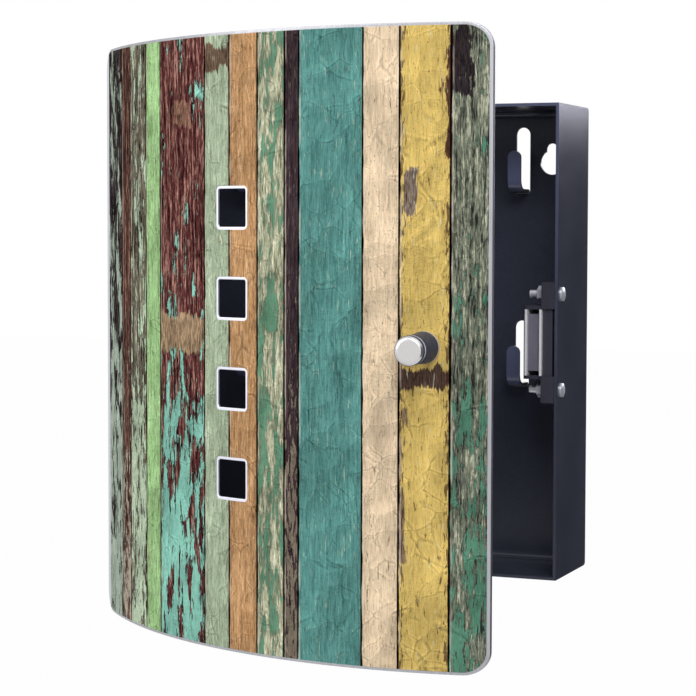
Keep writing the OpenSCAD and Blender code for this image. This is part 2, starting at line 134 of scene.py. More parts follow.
# %% [markdown]
# ## A sheet with holes, from loops
#
# The front is a rounded rectangle with four windows and a screw hole, bent to the bow. A rounded
# outline can be written as core + r * direction, where the core is a smaller sharp rectangle. With
# that form an inset is only a smaller r, so one row of (inset, depth) pairs carried round the outline
# gives the face, the softened edge and the back in one strip. A hole is the same with r growing. What
# lies between the strips is a plain lattice, finer in line with the holes. Round a hole all points
# meet. Along the outline the strip keeps the wide steps, so fine lattice points lie between its own.

# %% Helpers for the front's lattice
# Sizes that the solids have; a cell is half the width of the lattice square round a hole
CORNER_R = 9 * MM
WINDOWS = 4
WINDOW = 14.7 * MM
WINDOW_R = 0.8 * MM
WINDOW_X = 1.2 * MM
WINDOW_PITCH = 35 * MM
WINDOW_CELL = 11 * MM
SCREW_HOLE = 2.3 * MM
SCREW_CELL = 5 * MM
KNOB_X = 82 * MM
ARC_STEPS = 14


def divide(marks, pitch):
    """Lattice values that hit every mark, with about the given pitch between them."""
    parts = [np.linspace(a, b, max(1, round((b - a) / pitch)) + 1)[:-1] for a, b in zip(marks, marks[1:])]
    return np.append(np.concatenate(parts), marks[-1])


def outline_loop(core, across, upward):
    """Core points and directions round a rounded rectangle: straight sides, then quarter turns."""
    bends = np.linspace(0, math.pi / 2, ARC_STEPS + 1)
    sides = [(upward, 0), (across[::-1], 1), (upward[::-1], 2), (across, 3)]
    base, way = [], []
    for line, quarter in sides:
        start = quarter * math.pi / 2
        fixed = core[quarter % 2] * (1 if quarter < 2 else -1)
        run = line[1:-1]
        side = np.stack([np.full(len(run), fixed), run], 1)
        base.append(side if quarter % 2 == 0 else side[:, ::-1])
        way.append(np.tile([math.cos(start), math.sin(start)], (len(run), 1)))
        corner = [core[0] * (1 if quarter in (0, 3) else -1), core[1] * (1 if quarter < 2 else -1)]
        base.append(np.tile(corner, (len(bends), 1)))
        way.append(np.stack([np.cos(start + bends), np.sin(start + bends)], 1))
    return np.concatenate(base), np.concatenate(way)


def cell_loop(across, upward):
    """Points round a lattice cell, once, counter-clockwise."""
    right, top = (across[-1], upward), (across[::-1], upward[-1])
    left, bottom = (across[0], upward[::-1]), (across, upward[0])
    return np.concatenate(
        [np.stack(np.broadcast_arrays(*side), 1)[:-1] for side in (right, top, left, bottom)])


def edge_rows(soft, thick):
    """(inset, depth) pairs from the face over a softened edge to the back: two quarter circles."""
    a = np.radians([0, 30, 60, 90])
    front = np.stack([soft - soft * np.sin(a), soft - soft * np.cos(a)], 1)
    back = np.stack([front[::-1, 0], thick - front[::-1, 1]], 1)
    return np.concatenate([front, back])


# %% Turn patches into a mesh


def patch_faces(rows, columns, start, ring):
    """Quads of a grid of points, joined end to start where it runs round a ring."""
    r = np.arange(rows - 1)[:, None]
    c = np.arange(columns if ring else columns - 1)[None]
    after = (c + 1) % columns
    row = r * columns
    below = row + columns
    quads = np.stack([row + c, row + after, below + after, below + c], -1)
    return quads.reshape(-1, 4) + start


def add_object(name, data):
    """A new object in the scene."""
    item = bpy.data.objects.new(name, data)
    bpy.context.scene.collection.objects.link(item)
    return item


def make_piece(name, patches, body, material):
    """One mesh from patches of points: doubles are merged, faces point outwards, shading is smooth."""
    corners, quads, start = [], [], 0
    for points, ring in patches:
        rows, columns = points.shape[:2]
        corners.append(points.reshape(-1, 3))
        quads.append(patch_faces(rows, columns, start, ring))
        start += rows * columns
    mesh = bpy.data.meshes.new(name)
    mesh.from_pydata(np.concatenate(corners).tolist(), [], np.concatenate(quads).tolist())
    cleaned = bmesh.new()
    cleaned.from_mesh(mesh)
    bmesh.ops.remove_doubles(cleaned, verts=cleaned.verts, dist=1e-7)
    bmesh.ops.dissolve_degenerate(cleaned, edges=cleaned.edges, dist=1e-8)
    bmesh.ops.recalc_face_normals(cleaned, faces=cleaned.faces)
    cleaned.to_mesh(mesh)
    cleaned.free()
    mesh.polygons.foreach_set("use_smooth", np.ones(len(mesh.polygons), bool))
    mesh.materials.append(material)
    piece = add_object(name, mesh)
    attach(piece, body)
    print(name, "has", len(mesh.polygons), "faces")
    return piece


# %% Bend a pierced sheet to the bow
LATTICE = 2.5 * MM
CELL_STEP = 0.75 * MM
FACE_ROWS = 5
SOFT_RUN = 0.25 * MM


def bend(flat, depth, outer):
    """From (across, up) and a depth to space: y = axis - sqrt(radius^2 - x^2), swung to rest."""
    x, z = flat[..., 0], flat[..., 1]
    y = bow_y - np.sqrt((outer - depth) ** 2 - x ** 2)
    return opened(np.stack([x, y, z], -1))


def pierced_sheet(half, corner_r, holes, outer, thick, soft):
    """Patches of a bowed sheet: a strip round the outline, one round each hole, and the lattice."""
    core = half - corner_r
    xs, zs = (sorted({-end, end} | {h[axis] + s * h["cell"] for h in holes for s in (-1, 1)})
              for axis, end in zip("xz", core))
    edge = edge_rows(soft, thick)
    patches = []

    def strip(loops, depths):
        """Add a strip that runs round."""
        patches.append((bend(np.stack(loops), depths[:, None], outer), True))

    def line(axis, start, end):
        """Lattice values between two marks, close together in line with a hole."""
        fine = any(abs(h[axis] - (start + end) / 2) < h["cell"] for h in holes)
        return divide([start, end], CELL_STEP if fine else LATTICE)

    base, way = outline_loop(core, divide(xs, LATTICE), divide(zs, LATTICE))
    face = np.linspace(corner_r, soft + SOFT_RUN, FACE_ROWS)
    insets = np.concatenate([face, edge[:, 0], face[::-1]])
    depths = np.concatenate([face * 0, edge[:, 1], face * 0 + thick])
    strip([base + (corner_r - i) * way for i in insets], depths)

    pierced = set()
    for h in holes:
        rim = cell_loop(*(divide([h[axis] - h["cell"], h[axis] + h["cell"]], CELL_STEP) for axis in "xz"))
        middle = np.array([h["x"], h["z"]])
        square = (rim - middle) * h["half"] / h["cell"]
        inner = np.clip(square, h["r"] - h["half"], h["half"] - h["r"])
        way = (square - inner) / np.linalg.norm(square - inner, axis=1, keepdims=True)
        near = middle + inner + (h["r"] + soft + SOFT_RUN) * way
        shares = np.linspace(0, 1, FACE_ROWS)
        front = [rim + k * (near - rim) for k in shares]
        lip = [middle + inner + (h["r"] + i) * way for i in edge[:, 0]]
        depths = np.concatenate([shares * 0, edge[:, 1], shares * 0 + thick])
        strip(front + lip + front[::-1], depths)
        pierced.add((round(h["x"] / MM, 2), round(h["z"] / MM, 2)))

    for x0, x1 in zip(xs, xs[1:]):
        for z0, z1 in zip(zs, zs[1:]):
            centre = (round((x0 + x1) / 2 / MM, 2), round((z0 + z1) / 2 / MM, 2))
            if centre in pierced:
                continue
            flat = np.stack(np.meshgrid(line("x", x0, x1), line("z", z0, z1)), -1)
            for depth in (0, thick):
                patches.append((bend(flat, depth, outer), False))
    return patches


# %% [markdown]
# ## Small tools for finishes
#
# Every finish below is a short net of shader nodes. These helpers make one node each and return its
# output, and take a number or another node's output for any input, so a finish reads like a sum.

# %% Node helpers


def put(net, socket, value):
    """Link an output to the socket, or set a plain value on it."""
    if isinstance(value, bpy.types.NodeSocket):
        net.links.new(value, socket)
    else:
        socket.default_value = value


def fill(net, node, **inputs):
    """Put several inputs of a node; underscores stand for spaces in socket names."""
    for key, value in inputs.items():
        put(net, node.inputs[key.replace("_", " ")], value)


def make(net, kind, settings=None, **inputs):
    """A node with its settings and inputs."""
    node = net.nodes.new(kind)
    for key, value in (settings or {}).items():
        setattr(node, key, value)
    fill(net, node, **inputs)
    return node


def calc(net, operation, a, b=0.0):
    """One sum on two values."""
    node = make(net, "ShaderNodeMath", {"operation": operation})
    put(net, node.inputs[0], a)
    put(net, node.inputs[1], b)
    return node.outputs[0]


def plus(net, a, b):
    """a + b."""
    return calc(net, "ADD", a, b)


def minus(net, a, b):
    """a - b."""
    return calc(net, "SUBTRACT", a, b)


def times(net, a, b):
    """a * b."""
    return calc(net, "MULTIPLY", a, b)


def larger(net, a, b):
    """The larger of two values."""
    return calc(net, "MAXIMUM", a, b)


def size_of(net, value):
    """A value without its sign."""
    return calc(net, "ABSOLUTE", value)


def apart(net, a, b):
    """How far two values are apart: a - b without its sign."""
    return size_of(net, minus(net, a, b))


def rest_of(net, value):
    """What is missing to 1."""
    return minus(net, 1.0, value)


def step(net, value, low, high):
    """0 below low, 1 above high, and a smooth rise between them."""
    node = make(net, "ShaderNodeMapRange", {"interpolation_type": "SMOOTHSTEP"})
    fill(net, node, Value=value, From_Min=low, From_Max=high)
    return node.outputs[0]


# %% Helpers for points and colours


def point(net, x, y, z=0.0):
    """Three values as one vector."""
    return make(net, "ShaderNodeCombineXYZ", X=x, Y=y, Z=z).outputs[0]


def split(net, vector):
    """One vector as three values."""
    return make(net, "ShaderNodeSeparateXYZ", Vector=vector).outputs


def scaled(net, vector, scale):
    """A vector times a number."""
    return make(net, "ShaderNodeVectorMath", {"operation": "SCALE"}, Vector=vector, Scale=scale).outputs[0]


def noise(net, vector, detail=2.0, roughness=0.5, distortion=0.0):
    """Soft random value at a point that is already scaled."""
    node = make(net, "ShaderNodeTexNoise", {"normalize": True}, Vector=vector, Scale=1.0)
    fill(net, node, Detail=detail, Roughness=roughness, Distortion=distortion)
    return node.outputs["Fac"]


def blend(net, share, a, b, kind="MIX"):
    """Mix colour b over colour a by a share."""
    node = make(net, "ShaderNodeMix", {"data_type": "RGBA", "blend_type": kind})
    put(net, node.inputs[0], share)
    put(net, node.inputs[6], a)
    put(net, node.inputs[7], b)
    return node.outputs[2]


def colour(red, green, blue):
    """A screen colour of 0 to 255 as the linear colour that shaders use."""
    share = np.array([red, green, blue]) / 255
    linear = np.where(share <= 0.04045, share / 12.92, ((share + 0.055) / 1.055) ** 2.4)
    return (*linear.tolist(), 1.0)


def finish(name):
    """A new material with an empty net, its Principled shader wired to the output."""
    material = bpy.data.materials.new(name)
    material.use_nodes = True
    net = material.node_tree
    net.nodes.clear()
    shader = net.nodes.new("ShaderNodeBsdfPrincipled")
    output = net.nodes.new("ShaderNodeOutputMaterial")
    net.links.new(shader.outputs[0], output.inputs["Surface"])
    return material, net, shader


def set_relief(net, shader, height, distance, strength):
    """Feed a height into the shader's normal through a bump."""
    bump = make(net, "ShaderNodeBump", Height=height, Distance=distance, Strength=strength)
    net.links.new(bump.outputs[0], shader.inputs["Normal"])


# %% [markdown]
# ## Two shared effects
#
# Brushing leaves long fine lines along one direction, and handling leaves cloudy marks that change
# the gloss. Both appear on several metals, so each is a node group that is built once and used by
# every finish that needs it. Brushing could be modelled, but its lines are far too fine for a mesh.

# %% Build the shared groups
# Noise cells in a metre: across the lines, along x and along y, and then along the lines
BRUSH_X, BRUSH_Y, BRUSH_Z = 6500, 4100, 70
# The wider lines: their scale across as a share of the fine ones, and their cells along
WIDE_ACROSS, WIDE_Z = 0.13, 22
FINE_SHARE, WIDE_SHARE = 0.65, 0.35
MARK_CELLS = 38


def new_group(name, output):
    """An empty shader group that takes a vector and gives one value."""
    group = bpy.data.node_groups.new(name, "ShaderNodeTree")
    group.interface.new_socket("Vector", in_out="INPUT", socket_type="NodeSocketVector")
    group.interface.new_socket(output, in_out="OUTPUT", socket_type="NodeSocketFloat")
    source = group.nodes.new("NodeGroupInput").outputs[0]
    sink = group.nodes.new("NodeGroupOutput").inputs[0]
    return group, source, sink


def brushing_group():
    """Lines along z: two noises, squeezed across the lines and drawn out along them."""
    group, source, sink = new_group("brushed lines", "Lines")
    x, y, z = split(group, source)
    across = plus(group, times(group, x, BRUSH_X), times(group, y, BRUSH_Y))
    fine = noise(group, point(group, across, times(group, z, BRUSH_Z)), 3.0, 0.6)
    wide = noise(group, point(group, times(group, across, WIDE_ACROSS), times(group, z, WIDE_Z)), 2.0)
    lines = plus(group, times(group, fine, FINE_SHARE), times(group, wide, WIDE_SHARE))
    group.links.new(lines, sink)
    return group


def handling_group():
    """Cloudy marks a few centimetres wide with finer ones inside them."""
    group, source, sink = new_group("handling marks", "Marks")
    marks = noise(group, scaled(group, source, MARK_CELLS), 5.0, 0.6, 0.4)
    group.links.new(marks, sink)
    return group


def place_group(net, group, vector):
    """One use of a shared group."""
    return make(net, "ShaderNodeGroup", {"node_tree": group}, Vector=vector).outputs[0]


def object_point(net):
    """Object coordinates in metres."""
    return net.nodes.new("ShaderNodeTexCoord").outputs["Object"]


BRUSHED = brushing_group()
HANDLED = handling_group()
print("shared groups:", BRUSHED.name, "and", HANDLED.name)

# %% [markdown]
# ## Bare metals
#
# The front is brushed stainless sheet, bare at its rim, around the windows and on its inside. The
# windows' rims are polished, so they are brighter than the rest. The screws, brackets and washers
# are zinc plated, and the catch's pole plates are bright nickel. One function serves all of them:
# brushed lines change the tone and the relief, and handling marks change the gloss.

# %% Metal finishes
# The front's chart is in tenths of a metre, so 1 on it is this many millimetres
CHART_MM = 100
# How far from a window's opening the polish starts to end and has ended, in millimetres
POLISH_END = (1.0, 1.4)
POLISHED = colour(222, 223, 233)
# Tone between two brushed lines, as a share of the metal's own, and how strong their relief is
LINE_DARK = 0.72
LINE_STRENGTH = 0.25


def front_chart(net):
    """Places on the closed front in millimetres, across and up, from the piece's own chart."""
    chart = make(net, "ShaderNodeUVMap", {"uv_map": "front"}).outputs[0]
    across, upward, _ = split(net, chart)
    return times(net, across, CHART_MM), times(net, upward, CHART_MM)


def window_rims(net):
    """1 on the bare rims of the windows: the larger distance from a window's middle, across or up."""
    across, upward = front_chart(net)
    half, half_pitch = WINDOW / MM / 2, WINDOW_PITCH / MM / 2
    off_x = apart(net, across, WINDOW_X / MM)
    off_z = minus(net, half_pitch, calc(net, "PINGPONG", upward, half_pitch))
    start, end = (half + distance for distance in POLISH_END)
    near = rest_of(net, step(net, larger(net, off_x, off_z), start, end))
    return times(net, near, calc(net, "LESS_THAN", size_of(net, upward), WINDOWS * half_pitch))


def metal(name, tone, rough, spread, relief, bare=1.0, polished=None):
    """Brushed metal: lines vary tone and relief, marks vary roughness; bare is how metallic it is."""
    material, net, shader = finish(name)
    place = object_point(net)
    lines = place_group(net, BRUSHED, place)
    marks = place_group(net, HANDLED, place)
    dark = (*(LINE_DARK * c for c in tone[:3]), 1.0)
    brushed = blend(net, step(net, lines, 0.3, 0.7), dark, tone)
    if polished:
        brushed = blend(net, polished(net), brushed, POLISHED)
    gloss = plus(net, rough, times(net, marks, spread))
    fill(net, shader, Base_Color=brushed, Roughness=gloss, Metallic=bare)
    set_relief(net, shader, lines, relief, LINE_STRENGTH)
    return material


STAINLESS = metal("brushed stainless", colour(182, 183, 188), 0.34, 0.18, 0.04 * MM, polished=window_rims)
ZINC = metal("zinc plate", colour(220, 223, 230), 0.2, 0.2, 0.02 * MM, bare=0.5)
NICKEL = metal("bright nickel", colour(250, 250, 254), 0.4, 0.12, 0.01 * MM, bare=0.35)
print("metals:", STAINLESS.name, ZINC.name, NICKEL.name)

# %% [markdown]
# ## Black parts
#
# The tray is powder coated: the powder melts into a skin with a fine orange-peel surface, semi-matt,
# a cold black. A painted highlight makes the hooks' arms and the upper part of its cut edge a little
# lighter. The catch is black moulded plastic with a spark-eroded grain, the magnet is sintered
# ferrite with pores, and the spacers are natural nylon.

# %% Coated, moulded and sintered finishes
# Each pair is a start and an end: of the hooks' arms and of the mouth's edge, measured from the wall,
# of the tray's walls, measured from the middle, and of the painted highlight's stretch, measured in height
ARM = (7 * MM, 13 * MM)
MOUTH = (43.6 * MM, 44 * MM)
WALLS = (88 * MM, 90 * MM)
HIGHLIGHT_HEIGHT = (-30 * MM, 80 * MM)
# How strong the painted highlight on the cut edge is, as a share of that on the arms
MOUTH_HIGHLIGHT_SHARE = 0.55
GLOSS_SPREAD = 0.12
PEEL_STRENGTH = 0.35


def painted_highlight_places(net, place):
    """Painted highlight places: the hooks' arms, and the upper part of the cut edge round its mouth."""
    x, y, z = split(net, place)
    forward = times(net, y, -1.0)
    from_middle = larger(net, size_of(net, x), size_of(net, z))
    arms = times(net, step(net, forward, *ARM), rest_of(net, step(net, from_middle, *WALLS)))
    mouth = times(net, step(net, forward, *MOUTH), step(net, z, *HIGHLIGHT_HEIGHT))
    return larger(net, arms, times(net, mouth, MOUTH_HIGHLIGHT_SHARE))


def skin(name, dark, light, rough, grain_size, depth, painted_highlight=None):
    """A skin with fine grain: noise at the grain's size is the relief, marks shift tone and gloss."""
    material, net, shader = finish(name)
    place = object_point(net)
    peel = noise(net, scaled(net, place, 1 / grain_size), 3.0, 0.55)
    marks = place_group(net, HANDLED, place)
    tone = plus(net, times(net, peel, 0.5), times(net, marks, 0.5))
    coat = blend(net, step(net, tone, 0.35, 0.65), dark, light)
    # The optional lighter tone is a painted highlight on the hooks' arms and the top of the cut edge
    if painted_highlight:
        coat = blend(net, painted_highlight_places(net, place), coat, painted_highlight)
    fill(net, shader, Base_Color=coat, Roughness=plus(net, rough, times(net, marks, GLOSS_SPREAD)))
    set_relief(net, shader, peel, depth, PEEL_STRENGTH)
    return material


# The third colour is a painted highlight on the hooks' arms and the upper cut edge
POWDER = skin("black powder coat", colour(52, 55, 68), colour(60, 63, 77), 0.12, 0.45 * MM, 0.06 * MM,
              painted_highlight=colour(92, 97, 126))
MOULDED = skin("black moulded plastic", colour(38, 39, 50), colour(46, 47, 60), 0.42, 0.3 * MM, 0.05 * MM)
FERRITE = skin("sintered ferrite", colour(86, 84, 98), colour(106, 104, 118), 0.5, 0.25 * MM, 0.08 * MM)
NYLON = skin("natural nylon", colour(222, 219, 208), colour(234, 232, 222), 0.4, 0.3 * MM, 0.03 * MM)
print("skins:", POWDER.name, MOULDED.name, FERRITE.name, NYLON.name)

# %% [markdown]
# ## The board print
#
# The film shows thirteen upright boards in old paint. Each board has a ground, dark and pale grain and
# patches of a second paint, so four colour ramps hold those colours, and a count of how many board
# edges lie to the left of a point picks the board. The same noises then serve all boards, each in a
# slice of its own, which keeps the net small. The print is nearly flat: flakes and cracks are colour,
# and only creases and fibres have a slight relief.

# %% List the boards
# Right edge in mm from the middle; dark grain, ground, pale grain and second paint; the share of that
# paint at the top and at the bottom and the strength of the grain; and then how fine its patches are,
# how worn the edges are and how many specks there are
Board = namedtuple("Board", "name right dark ground pale second cover wear")
BOARDS = [
    Board("charred", -79.5, (14, 9, 10), (50, 41, 42), (112, 108, 105), (176, 190, 174),
          (0.42, 0.62, 1.0), (0.3, 0.6, 0.2)),
    Board("umber", -70.0, (36, 19, 22), (92, 63, 56), (160, 126, 108), (184, 172, 154),
          (0.1, 0.52, 1.0), (0.6, 0.5, 0.2)),
    Board("driftwood", -55.0, (22, 18, 21), (112, 105, 91), (190, 186, 161), (192, 210, 182),
          (0.4, 0.6, 1.0), (0.45, 0.5, 0.3)),
    Board("apple", -43.5, (128, 166, 106), (162, 202, 140), (192, 224, 170), (94, 116, 76),
          (0.07, 0.12, 0.65), (1.0, 0.4, 0.6)),
    Board("russet", -13.7, (30, 11, 17), (92, 50, 49), (180, 134, 120), (138, 198, 180),
          (0.28, 0.57, 1.0), (0.25, 0.5, 0.3)),
    Board("sage", 0.2, (134, 148, 122), (164, 180, 152), (194, 206, 180), (200, 202, 172),
          (0.15, 0.15, 0.7), (0.2, 0.3, 0.4)),
    Board("amber", 14.6, (148, 108, 70), (186, 144, 101), (214, 172, 128), (220, 184, 142),
          (0.08, 0.1, 0.8), (1.0, 0.3, 0.3)),
    Board("meadow", 27.4, (116, 118, 94), (180, 181, 152), (226, 225, 197), (96, 138, 112),
          (0.42, 0.47, 1.0), (0.15, 0.3, 0.2)),
    Board("plum", 33.8, (36, 26, 31), (56, 44, 49), (78, 66, 68), (118, 108, 94),
          (0.04, 0.6, 0.8), (1.0, 0.3, 0.2)),
    Board("teal", 59.9, (62, 110, 106), (87, 139, 133), (104, 158, 149), (124, 170, 158),
          (0.08, 0.1, 0.6), (1.0, 0.2, 0.5)),
    Board("cream", 73.4, (188, 164, 132), (221, 198, 167), (236, 217, 187), (150, 128, 104),
          (0.05, 0.1, 0.4), (1.0, 0.2, 0.6)),
    Board("mustard", 90.9, (172, 142, 78), (205, 177, 102), (220, 194, 116), (118, 90, 58),
          (0.07, 0.11, 0.4), (1.0, 0.8, 0.6)),
    Board("lichen", 104.0, (40, 44, 43), (112, 118, 102), (182, 182, 158), (84, 130, 108),
          (0.3, 0.54, 1.0), (0.4, 0.4, 0.2)),
]
# Places where the paint is worn through: board, middle and half width, middle and half height in mm,
# and the colour of the bare wood
BANDS = [
    ("sage", -7, 8, 110.5, 4.2, (124, 102, 84)),
    ("russet", -29, 16, 3, 7.0, (178, 150, 118)),
    ("russet", -28, 5, 90, 4.5, (158, 118, 98)),
    ("mustard", 82, 10, -10, 2.9, (92, 72, 62)),
    ("mustard", 76, 3, 58, 8.0, (132, 116, 104)),
    ("mustard", 90.5, 2.2, 92, 20, (98, 68, 48)),
    ("mustard", 73.6, 0.8, -50, 26, (138, 116, 92)),
    ("lichen", 93, 3.5, 106, 12, (48, 42, 45)),
]
# Left of this place in mm the film is clear and shows the steel
PRINT_START = -98.6
FRONT_MM = 208.0
print(len(BOARDS), "boards")

# %% [markdown]
# A ramp with flat steps works like a table: the board's number finds its step, and so its colour.
# Three plain numbers fit in one colour as well, so three more ramps hold its edges and other values.

# %% Pick a board's values


def board_ramp(net, place, values):
    """A ramp with one flat step for each board."""
    node = make(net, "ShaderNodeValToRGB", Fac=place)
    node.color_ramp.interpolation = "CONSTANT"
    stops = node.color_ramp.elements
    for i, value in enumerate(values):
        stop = stops[i] if i < 2 else stops.new(i / len(values))
        stop.position = i / len(values)
        stop.color = value
    return node.outputs[0]


def board_numbers(net, place, values):
    """Three numbers of 0 to 1 for each board, as separate outputs."""
    ramp = board_ramp(net, place, [(*three, 1) for three in values])
    return make(net, "ShaderNodeSeparateColor", Color=ramp).outputs[:3]


def board_values(net, across):
    """Index, four paints, edges and other values of the board at a place across the front."""
    index = 0.0
    for board in BOARDS[:-1]:
        index = plus(net, calc(net, "GREATER_THAN", across, board.right), index)
    place = calc(net, "DIVIDE", plus(net, index, 0.5), len(BOARDS))
    paints = [board_ramp(net, place, [colour(*getattr(board, layer)) for board in BOARDS])
              for layer in ("dark", "ground", "pale", "second")]
    rights = [0.5 + board.right / FRONT_MM for board in BOARDS]
    ends = [(left, right, 0) for left, right in zip([0.0] + rights, rights)]
    left, right, _ = board_numbers(net, place, ends)
    edges = [times(net, minus(net, edge, 0.5), FRONT_MM) for edge in (left, right)]
    cover = board_numbers(net, place, [board.cover for board in BOARDS])
    wear = board_numbers(net, place, [board.wear for board in BOARDS])
    return index, paints, edges, cover + wear


# %% [markdown]
# The print shows paint that has cracked, flaked and worn, and creases as in crumpled paper. Each of
# these is a noise with a formula of its own: a thin line where a noise crosses a half, a patch where
# it passes a limit, or a dent whose slope to one side is its shade.

# %% Make the print's patterns
# Noises: cells for a millimetre across and up, slice, detail, roughness and distortion
DRIFT = (0.3, 0.07, 0.0, 3.0)
BROKEN = (0.12, 0.12, 2.2, 3.0)
PATCHY = (0.03, 0.03, 5.5, 2.0)
# Noises that change from board to board: the same, with the slice times the board's number
STREAKS = (0.9, 0.05, 7.31, 6.0, 0.7)
FIBRES = (2.4, 0.24, 3.17, 3.0, 0.6)
CLOUDS = (0.1, 0.035, 2.3, 3.0)
LARGE_FLAKES = (0.22, 0.045, 5.7, 7.0, 0.62, 0.4)
SMALL_FLAKES = (0.75, 0.15, 6.1, 5.0, 0.6, 0.3)
WRINKLES = (0.16, 0.5, 1.9, 4.0, 0.6, 0.5)
CRACKS = (0.55, 0.035, 9.3, 4.0, 0.6, 0.6)
SPECKS = (1.5, 0.9, 4.9, 1.0)
DASHES = (1.7, 0.16, 8.3, 2.0)
# Dents of the crumpled paper: size in mm, and how wide the line at their rims is as a share of it
FOLDS = (26, 0.014)
CREASES = (11, 0.03)
# How far noise bends a dent's outline, and how far to each side its slope is taken, as shares of its
# size
BEND = 0.6
SLOPE_STEP = 0.015


def swing(net, value, reach):
    """A noise about zero: its distance from a half, times a reach."""
    return times(net, minus(net, value, 0.5), reach)


def vein(net, value, width):
    """A thin line where a noise crosses a half."""
    return rest_of(net, step(net, apart(net, value, 0.5), 0.0, width))


def front_noise(net, spot, kind):
    """A noise on the front, the same for all boards."""
    x_cells, z_cells, lift, *shape = kind
    x, z = times(net, spot[0], x_cells), times(net, spot[1], z_cells)
    return noise(net, point(net, x, z, lift), *shape)


def grain(net, spot, kind):
    """A noise on the front in a slice of its own for each board."""
    x_cells, z_cells, slice_step, *shape = kind
    return front_noise(net, spot, (x_cells, z_cells, times(net, spot[2], slice_step), *shape))


def cells(net, feature, x, z):
    """Distance in a pattern of random cells, to the nearest edge or to the nearest middle."""
    node = make(net, "ShaderNodeTexVoronoi", {"feature": feature}, Vector=point(net, x, z), Scale=1.0)
    return node.outputs["Distance"]


def folded(net, spot, size, reach):
    """Crumpled paper: the slope of dents with bent outlines, and a dark and a pale line at their rims."""
    x, z = (calc(net, "DIVIDE", value, size) for value in spot[:2])
    bend_x, bend_z = (noise(net, point(net, x, z, lift), 4.0, 0.6) for lift in (3.1, 8.7))
    x, z = plus(net, x, times(net, bend_x, BEND)), plus(net, z, times(net, bend_z, BEND))
    away = cells(net, "DISTANCE_TO_EDGE", x, z)
    before, after = (cells(net, "F1", minus(net, x, shift), plus(net, z, shift))
                     for shift in (-SLOPE_STEP, SLOPE_STEP))
    slope = calc(net, "DIVIDE", minus(net, before, after), 4 * math.sqrt(2) * SLOPE_STEP)
    valley = rest_of(net, step(net, away, 0.0, reach))
    rise, fall = step(net, away, reach, 1.5 * reach), step(net, away, 1.5 * reach, 3 * reach)
    ridge = times(net, rise, rest_of(net, fall))
    return plus(net, slope, 0.5), minus(net, times(net, ridge, 0.6), valley)


def crumpled(net, spot):
    """Shade of dents of two sizes; and their lines with fine wrinkles, pale above 0 and dark below."""
    broad, fold = folded(net, spot, *FOLDS)
    close, crease = folded(net, spot, *CREASES)
    lines = times(net, plus(net, fold, crease), step(net, front_noise(net, spot, BROKEN), 0.44, 0.58))
    patchy = step(net, front_noise(net, spot, PATCHY), 0.36, 0.56)
    wrinkle = times(net, vein(net, grain(net, spot, WRINKLES), 0.02), patchy)
    shade = plus(net, swing(net, broad, 0.15), swing(net, close, 0.2))
    return shade, minus(net, lines, wrinkle)


# %% [markdown]
# The layers follow one another as on real boards: grain, patches of a second paint, places worn to
# the wood, flaws, rubbed edges, creases, and at last the dark gaps between the boards.

# %% Make the layers
# Colours that all boards share
LIP_SHADOW = colour(24, 17, 20)
FLAW = colour(62, 46, 40)
DASH = colour(198, 200, 176)
RUBBED_EDGE = colour(72, 46, 40)
EDGE_LINE = colour(224, 212, 196)
BOARD_GAP = colour(10, 7, 8)
BARE_MARGIN = colour(200, 201, 208)
# Dark fibres of bare wood as a share of its colour
BAND_DARK = 0.68


def wood(net, paints, streak, fibre, strength):
    """The ground with its grain, dark or pale where a sum of streaks and fibres leaves its middle."""
    dark, ground, pale, _ = paints
    tone = plus(net, times(net, streak, 0.65), times(net, fibre, 0.35))
    low = times(net, rest_of(net, step(net, tone, 0.41, 0.49)), strength)
    high = times(net, step(net, tone, 0.51, 0.59), strength)
    return blend(net, high, blend(net, low, ground, dark), pale), tone


def flaked(net, paint, paints, flake, cover):
    """The second paint where a noise passes a limit, with a dark lip just below that limit."""
    dark, _, _, second = paints
    limit = minus(net, 0.71, times(net, cover, 0.42))
    patch = step(net, flake, limit, plus(net, limit, 0.008))
    lip = minus(net, step(net, flake, minus(net, limit, 0.035), limit), patch)
    paint = blend(net, times(net, lip, 0.75), paint, blend(net, 0.5, dark, LIP_SHADOW))
    return blend(net, patch, paint, second)


def worn_bands(net, paint, spot, fray, fibre):
    """Lay each band over the paint: a box with a frayed outline, on its own board only."""
    across, upward, index = spot
    names = [board.name for board in BOARDS]
    for name, x, half_x, z, half_z, tone in BANDS:
        here = calc(net, "COMPARE", index, names.index(name))
        here.node.inputs[2].default_value = 0.5
        out_x = minus(net, apart(net, across, x), half_x)
        out_z = minus(net, apart(net, upward, z), half_z)
        out = plus(net, larger(net, out_x, out_z), fray)
        band = times(net, here, rest_of(net, step(net, out, -0.5, 0.5)))
        shadow = colour(*(BAND_DARK * c for c in tone))
        worn = blend(net, step(net, fibre, 0.36, 0.62), shadow, colour(*tone))
        paint = blend(net, band, paint, worn)
    return paint


def flawed(net, paint, spot, small, specks):
    """Dark cracks and specks, and then pale dashes."""
    crack = vein(net, grain(net, spot, CRACKS), 0.018)
    crack = times(net, crack, step(net, small, 0.48, 0.58))
    speck = step(net, grain(net, spot, SPECKS), 0.68, 0.74)
    flaws = plus(net, times(net, crack, 0.6), times(net, speck, specks))
    dash = times(net, step(net, grain(net, spot, DASHES), 0.665, 0.72), specks)
    return blend(net, dash, blend(net, flaws, paint, FLAW), DASH)


def shaded(net, paint, shade):
    """A paint times a grey."""
    grey = make(net, "ShaderNodeCombineColor", Red=shade, Green=shade, Blue=shade).outputs[0]
    return blend(net, 1.0, paint, grey, "MULTIPLY")


